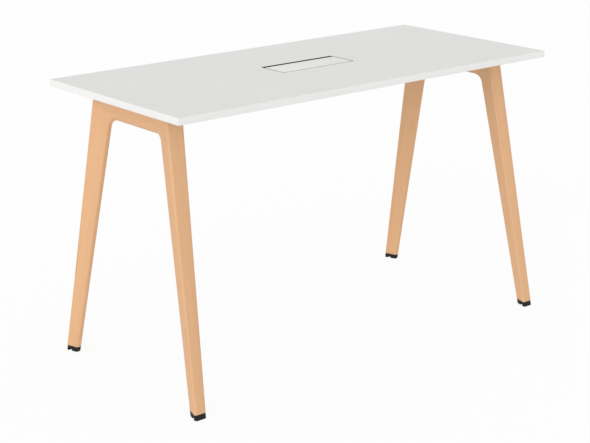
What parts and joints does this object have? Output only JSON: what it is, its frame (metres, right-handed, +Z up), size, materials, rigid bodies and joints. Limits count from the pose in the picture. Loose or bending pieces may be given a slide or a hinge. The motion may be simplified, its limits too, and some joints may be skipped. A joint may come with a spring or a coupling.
{
  "type": "standing meeting table",
  "caption": "Bar-height meeting table with a rectangular white top, a flush hinged cable flap with a slot, and splayed wooden A-frame legs on dark shoes.",
  "frame": {"origin": "on the floor, under the middle of the top", "axes": "+X along the table's length to the right, +Y across it from front to back, +Z up; the flap's hinge is on its front edge"},
  "size_m": [1.8, 0.844, 1.07],
  "materials": {
    "white_melamine": "matt white melamine facing on particle board",
    "white_edge": "satin white plastic edge strip",
    "white_paint": "satin white powder coat",
    "beech": "steamed beech, matt clear lacquer",
    "black_plastic": "moulded black plastic, finely textured",
    "black_paint": "black powder coat, fine texture",
    "zinc_steel": "bright zinc plating"
  },
  "bodies": {
    "table": {"cable_tray": "black_paint", "crossbar_left": "beech", "crossbar_right": "beech", "edge_band_back": "white_edge", "edge_band_front": "white_edge", "edge_band_left": "white_edge", "edge_band_right": "white_edge", "flap_liner": "black_paint", "flap_pin_left": "zinc_steel", "flap_pin_right": "zinc_steel", "flap_screw_back_left": "zinc_steel", "flap_screw_back_right": "zinc_steel", "flap_screw_front_left": "zinc_steel", "flap_screw_front_right": "zinc_steel", "foot_back_left": "black_plastic", "foot_back_right": "black_plastic", "foot_front_left": "black_plastic", "foot_front_right": "black_plastic", "foot_screw_back_left": "zinc_steel", "foot_screw_back_right": "zinc_steel", "foot_screw_front_left": "zinc_steel", "foot_screw_front_right": "zinc_steel", "leg_back_left": "beech", "leg_back_right": "beech", "leg_front_left": "beech", "leg_front_right": "beech", "plate_back_left": "black_paint", "plate_back_right": "black_paint", "plate_front_left": "black_paint", "plate_front_right": "black_paint", "plate_screw_back_left_1": "zinc_steel", "plate_screw_back_left_2": "zinc_steel", "plate_screw_back_right_1": "zinc_steel", "plate_screw_back_right_2": "zinc_steel", "plate_screw_front_left_1": "zinc_steel", "plate_screw_front_left_2": "zinc_steel", "plate_screw_front_right_1": "zinc_steel", "plate_screw_front_right_2": "zinc_steel", "rail_back": "black_paint", "rail_bolt_back_left_1": "zinc_steel", "rail_bolt_back_left_2": "zinc_steel", "rail_bolt_back_right_1": "zinc_steel", "rail_bolt_back_right_2": "zinc_steel", "rail_bolt_front_left_1": "zinc_steel", "rail_bolt_front_left_2": "zinc_steel", "rail_bolt_front_right_1": "zinc_steel", "rail_bolt_front_right_2": "zinc_steel", "rail_front": "black_paint", "tenon_back_left": "beech", "tenon_back_right": "beech", "tenon_front_left": "beech", "tenon_front_right": "beech", "top_board": "white_melamine", "top_screw_back_left": "zinc_steel", "top_screw_back_right": "zinc_steel", "top_screw_front_left": "zinc_steel", "top_screw_front_right": "zinc_steel"},
    "flap": {"flap_lid": "white_paint"}
  },
  "joints": [
    {"name": "flap_hinge", "type": "hinge", "parent": "table", "child": "flap", "pos_m": [0, -0.0535, 1.066], "axis": [1, 0, 0], "range_deg": [0, 105]}
  ]
}
